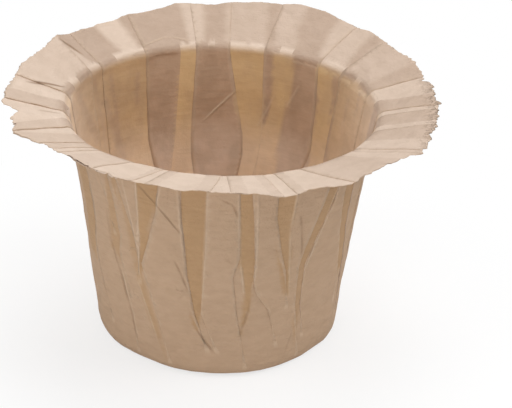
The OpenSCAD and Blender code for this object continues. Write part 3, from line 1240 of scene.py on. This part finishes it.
@dataclass(frozen=True)
class FilterPaperFinish:
    """Unbleached filter paper. Its colour holds painted light and shade: single paper is painted darker and
    ochre outside, for the light lost through it, and paler and golden inside, for the light shining through
    it.

    Attributes:
        lit_flange_stack: stacked paper on top of the flange, painted paler as lit from above.
        lit_flange_single: single paper on top of the flange, painted paler as lit from above and paler again
            as light shining through it.
        panel: the raised pleats on the outside.
        shaded_recess: single paper between the pleats, on the outside, painted darker and ochre as shade for
            the light lost through the thin sheet.
        high_shaded_stack: stacked paper inside, high on the wall, painted darker as the shade under the
            flange.
        low_lit_stack: stacked paper inside, low on the wall, painted paler as light against the shade deep in
            the cup.
        high_shaded_single: single paper inside, high on the wall, painted golden as light shining through it
            and darker as the shade under the flange.
        low_lit_single: single paper inside, low on the wall, painted paler as light shining through it and
            against the shade deep in the cup.
        fold: the ridge of a fold, lighter for wear and as a painted highlight where the rounded edge catches
            the light; the light crease lines take it too.
        line: the shade in a crease.
        fray: loose fibres along the torn edge.
        blotch: tint of the darker blotches on the inside.
        fold_sheen_and_wear: how far a fold takes on that colour of wear and painted highlight.
        fray_cover: how far the loose fibres cover the paper.
        line_strength: how far a dark crease line takes on the painted shade, and a light one the painted
            highlight.
        dark_line_mm: half the width of a dark crease line of painted shade.
        light_line_mm: half the width of a light one, of painted highlight.
        shaded_z: heights between which the inside turns from the painted light low down to the painted shade
            high up, against the throat's.
        inner_calm: how much of the grain's relief the inside of the wall lacks.
        relief: height of the relief.
        gloss: the paper's specular level.
    """

    lit_flange_stack: Colour = srgb(183, 160, 142)
    lit_flange_single: Colour = srgb(214, 194, 177)
    panel: Colour = srgb(182, 154, 128)
    shaded_recess: Colour = srgb(175, 142, 107)
    high_shaded_stack: Colour = srgb(179, 149, 124)
    low_lit_stack: Colour = srgb(213, 191, 174)
    high_shaded_single: Colour = srgb(199, 166, 124)
    low_lit_single: Colour = srgb(229, 204, 177)
    fold: Colour = srgb(206, 182, 158)
    line: Colour = srgb(134, 102, 74)
    fray: Colour = srgb(160, 136, 114)
    blotch: Colour = (0.86, 0.85, 0.83)
    fold_sheen_and_wear: float = 0.38
    fray_cover: float = 0.6
    line_strength: float = 0.75
    dark_line_mm: float = 0.33
    light_line_mm: float = 0.34
    shaded_z: Spot = (0.45, 0.75)
    inner_calm: float = 0.55
    relief: float = 0.26 * MM
    gloss: float = 0.25

    def material(self, form: CupForm) -> bpy.types.Material:
        """Makes the material.

        Args:
            form: the cup's profile.

        Returns:
            The material.
        """
        mat = bpy.data.materials.new("unbleached_filter_paper")
        mat.use_nodes = True
        wires = Wiring(mat.node_tree)
        shader = mat.node_tree.nodes["Principled BSDF"]
        place = wires.add("ShaderNodeTexCoord").outputs["Object"]
        axes = wires.add("ShaderNodeSeparateXYZ")
        wires.link(place, axes.inputs[0])
        height = axes.outputs["Z"]
        layer_map = wires.add("ShaderNodeAttribute", attribute_name=LAYER_MAP, attribute_type="GEOMETRY")
        parts = wires.add("ShaderNodeSeparateColor")
        wires.link(layer_map.outputs["Color"], parts.inputs[0])
        single, inside, fold = parts.outputs[0], parts.outputs[1], parts.outputs[2]
        grain = wires.add("ShaderNodeGroup", node_tree=paper_grain_group())
        wires.link(place, grain.inputs["Place"])
        top = wires.ramp(height, form.throat_z - 1.0 * MM, form.throat_z + 0.4 * MM)
        # Painted shade: single paper outside turns to the darker, ochre colour.
        outer = wires.blend(single, self.panel, self.shaded_recess)
        # Painted light: above the throat the colour turns to the flange's paler top.
        inner = wires.blend(top, self.inner_wall(wires, form, place, single), self.flange_top(wires, single))
        colour = wires.blend(inside, outer, inner)
        # Painted highlight and wear along the folds.
        colour = wires.blend(wires.sum("MULTIPLY", fold, self.fold_sheen_and_wear), colour, self.fold)
        lines, ridges = self.crease_lines(wires)
        # Painted shade in the dark crease lines and painted highlight in the light ones.
        colour = wires.blend(lines, colour, self.line)
        colour = wires.blend(ridges, colour, self.fold)
        fibres = wires.ramp(wires.noise(place, scale=1300.0, detail=4.0), 0.46, 0.6)
        fibres = wires.sum("MULTIPLY", fibres, layer_map.outputs["Alpha"])
        colour = wires.blend(wires.sum("MULTIPLY", fibres, self.fray_cover), colour, self.fray)
        colour = wires.blend(1.0, colour, grain.outputs["Tint"], "MULTIPLY")
        wires.link(colour, shader.inputs["Base Color"])
        wires.link(grain.outputs["Roughness"], shader.inputs["Roughness"])
        shader.inputs["Specular IOR Level"].default_value = self.gloss
        bump = wires.add("ShaderNodeBump", Strength=1.0, Distance=self.relief)
        on_wall = wires.sum("MULTIPLY", inside, wires.sum("SUBTRACT", 1.0, top))
        kept = wires.sum("SUBTRACT", 1.0, wires.sum("MULTIPLY", on_wall, self.inner_calm))
        relief = wires.sum("SUBTRACT", wires.sum("MULTIPLY", grain.outputs["Height"], kept), lines)
        relief = wires.sum("SUBTRACT", wires.sum("ADD", relief, ridges), fibres)
        wires.link(relief, bump.inputs["Height"])
        wires.link(bump.outputs["Normal"], shader.inputs["Normal"])
        return mat

    def flange_top(self, wires: Wiring, single: bpy.types.NodeSocket) -> bpy.types.NodeSocket:
        """Colour of the flange's top, by how far the paper is single there, painted paler as lit from above.
        """
        return wires.blend(single, self.lit_flange_stack, self.lit_flange_single)

    def inner_wall(
        self, wires: Wiring, form: CupForm, place: bpy.types.NodeSocket, single: bpy.types.NodeSocket
    ) -> bpy.types.NodeSocket:
        """Colour of the inside of the wall, painted paler low down and towards the front as light, and darker
        high on the back wall as the shade under the flange.

        Args:
            wires: the material's tree.
            form: the cup's profile.
            place: Object coordinates.
            single: how far the paper is single.

        Returns:
            The colour.
        """
        axes = wires.add("ShaderNodeSeparateXYZ")
        wires.link(place, axes.inputs[0])
        # Painted shade: the back wall darkens high up, under the flange; low down and at the front it keeps
        # the paler painted light.
        shade_from, shade_to = (share * form.throat_z for share in self.shaded_z)
        high = wires.ramp(axes.outputs["Z"], shade_from, shade_to)
        high = wires.sum("MULTIPLY", high, wires.ramp(axes.outputs["Y"], 0.0, 0.75 * form.throat_r))
        stack = wires.blend(high, self.low_lit_stack, self.high_shaded_stack)
        thin = wires.blend(high, self.low_lit_single, self.high_shaded_single)
        blotches = wires.noise(wires.stretch(place, (1.0, 1.0, 0.7)), scale=260.0, detail=3.0)
        blotches = wires.ramp(blotches, 0.38, 0.62)
        stack = wires.blend(blotches, stack, wires.blend(1.0, stack, self.blotch, "MULTIPLY"))
        thin = wires.blend(wires.sum("MULTIPLY", blotches, 0.25), thin, stack)
        # Single paper is painted golden and paler, as light shining through it.
        return wires.blend(single, stack, thin)

    def crease_lines(self, wires: Wiring) -> list[bpy.types.NodeSocket]:
        """Reads the lines of the listed creases from their map.

        Args:
            wires: the material's tree.

        Returns:
            A mask of all the dark lines, painted shade, and one of all the light ones, painted highlight.
        """
        crease_map = wires.add("ShaderNodeAttribute", attribute_name=CREASE_MAP, attribute_type="GEOMETRY")
        parts = wires.add("ShaderNodeSeparateColor")
        wires.link(crease_map.outputs["Color"], parts.inputs[0])
        group = crease_line_group()
        masks = []
        for side, strength, width in (
            (parts.outputs[0], parts.outputs[1], self.dark_line_mm),
            (parts.outputs[2], crease_map.outputs["Alpha"], self.light_line_mm),
        ):
            node = wires.add("ShaderNodeGroup", node_tree=group)
            wires.link(side, node.inputs["Side"])
            wires.link(strength, node.inputs["Strength"])
            node.inputs["Width"].default_value = width
            masks.append(wires.sum("MULTIPLY", node.outputs["Line"], self.line_strength))
        return masks


@dataclass(frozen=True)
class Lamp:
    """One square soft lamp that looks at the cup.

    Attributes:
        name: the lamp's name.
        place: where it hangs.
        size: length of its side.
        power: its power in watts.
    """

    name: str
    place: Triple
    size: float
    power: float

    def hang(self, target: Vector) -> None:
        """Adds the lamp and turns it to the target."""
        data = bpy.data.lights.new(self.name, "AREA")
        data.size = self.size
        data.energy = self.power
        lamp = bpy.data.objects.new(self.name, data)
        lamp.location = self.place
        lamp.rotation_euler = (target - Vector(self.place)).to_track_quat("-Z", "Y").to_euler()
        bpy.context.scene.collection.objects.link(lamp)


LAMPS = (
    Lamp("right_lamp", (0.58, -0.1, 0.68), 0.5, 3.9),
    Lamp("left_lamp", (-0.48, -0.27, 0.68), 0.4, 1.9),
    Lamp("back_lamp", (0.0, 0.4, 0.8), 0.5, 3.1),
    Lamp("low_lamp", (-0.4, -0.82, 0.25), 0.4, 2.3),
)


@dataclass
class Studio:
    """A pale floor, soft lamps and the camera at the photograph's angle.

    Attributes:
        form: the cup's profile.
        elevation: angle of the camera above the throat, in degrees.
        distance: from the camera to the middle of the throat.
        focal_px: focal length, in pixels of the picture.
        throat_px: where the middle of the throat lies in the picture.
        roll: how far the picture is turned, in degrees.
        lamp_target: height that the lamps look at.
        room_light: brightness of the room.
        floor_size: half the floor's side.
        floor_tone: the floor's colour, as one grey.
        near_glow: how white the camera sees the floor under the cup. Further out it is white.
        glow_reach: distances from the axis between which it turns white.
    """

    form: CupForm
    elevation: float = 24.0
    distance: float = 299.0 * MM
    focal_px: float = 2020.0
    throat_px: Spot = (222.0, 105.6)
    roll: float = 1.6
    lamp_target: float = 20.0 * MM
    room_light: float = 0.3
    floor_size: float = 1.5
    floor_tone: float = 0.92
    near_glow: float = 0.7
    glow_reach: Spot = (20.0 * MM, 65.0 * MM)

    def camera(self) -> None:
        """Places the camera so that the throat lands where the photograph has it."""
        data = bpy.data.cameras.new("camera")
        data.sensor_width = SENSOR_MM
        data.lens = self.focal_px / IMAGE_WIDTH_PX * SENSOR_MM
        data.clip_start = 0.01
        camera = bpy.data.objects.new("camera", data)
        bpy.context.scene.collection.objects.link(camera)
        tilt = math.radians(self.elevation)
        target = Vector((0.0, 0.0, self.form.throat_z))
        place = target + Vector((0.0, -math.cos(tilt), math.sin(tilt))) * self.distance
        look = (target - place).to_track_quat("-Z", "Y")
        across = (self.throat_px[0] - IMAGE_WIDTH_PX / 2) / self.focal_px
        above = (IMAGE_HEIGHT_PX / 2 - self.throat_px[1]) / self.focal_px
        aside = Vector((0.0, 0.0, -1.0)).rotation_difference(Vector((across, above, -1.0)))
        turn = Quaternion((0.0, 0.0, 1.0), math.radians(self.roll))
        rotation = look @ turn @ aside.inverted()
        camera.matrix_world = Matrix.Translation(place) @ rotation.to_matrix().to_4x4()
        bpy.context.scene.camera = camera

    def floor(self) -> None:
        """Lays the pale floor."""
        bm = bmesh.new()
        bmesh.ops.create_grid(bm, x_segments=1, y_segments=1, size=self.floor_size)
        mesh = bpy.data.meshes.new("floor")
        bm.to_mesh(mesh)
        bm.free()
        floor = bpy.data.objects.new("floor", mesh)
        bpy.context.scene.collection.objects.link(floor)
        mat = bpy.data.materials.new("pale_floor")
        mat.use_nodes = True
        wires = Wiring(mat.node_tree)
        shader = mat.node_tree.nodes["Principled BSDF"]
        shader.inputs["Base Color"].default_value = (self.floor_tone, self.floor_tone, self.floor_tone, 1.0)
        shader.inputs["Roughness"].default_value = 0.9
        glow = wires.add("ShaderNodeEmission", Strength=1.0)
        path = wires.add("ShaderNodeLightPath")
        place = wires.add("ShaderNodeTexCoord").outputs["Object"]
        length = wires.add("ShaderNodeVectorMath", operation="LENGTH")
        wires.link(place, length.inputs[0])
        far = wires.ramp(length.outputs["Value"], *self.glow_reach)
        seen = wires.sum("MAXIMUM", path.outputs["Is Camera Ray"], path.outputs["Is Glossy Ray"])
        glowing = wires.sum("ADD", wires.sum("MULTIPLY", far, 1.0 - self.near_glow), self.near_glow)
        share = wires.sum("MULTIPLY", glowing, seen)
        mix = wires.add("ShaderNodeMixShader")
        wires.link(share, mix.inputs[0])
        wires.link(shader.outputs[0], mix.inputs[1])
        wires.link(glow.outputs[0], mix.inputs[2])
        wires.link(mix.outputs[0], mat.node_tree.nodes["Material Output"].inputs[0])
        mesh.materials.append(mat)

    def world(self) -> None:
        """Fills the room with even white light."""
        world = bpy.data.worlds.new("room")
        world.use_nodes = True
        background = world.node_tree.nodes["Background"]
        background.inputs[0].default_value = (1.0, 1.0, 1.0, 1.0)
        background.inputs[1].default_value = self.room_light
        bpy.context.scene.world = world

    def build(self) -> None:
        """Sets up the floor, the lamps, the room and the camera."""
        self.floor()
        self.world()
        for lamp in LAMPS:
            lamp.hang(Vector((0.0, 0.0, self.lamp_target)))
        self.camera()
        bpy.context.scene.view_settings.view_transform = "Standard"


def main() -> None:
    """Builds the filter and the studio around it."""
    logging.basicConfig(level=logging.INFO, format="%(name)s: %(message)s")
    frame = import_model()
    form = CupForm()
    sheet = FoldedSheet(form).build(frame["nodes"][SHEET_NODE])
    sheet.data.materials.append(FilterPaperFinish().material(form))
    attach(sheet, "root")
    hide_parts(SHEET_NODE)
    Studio(form).build()


if __name__ == "__main__":
    main()
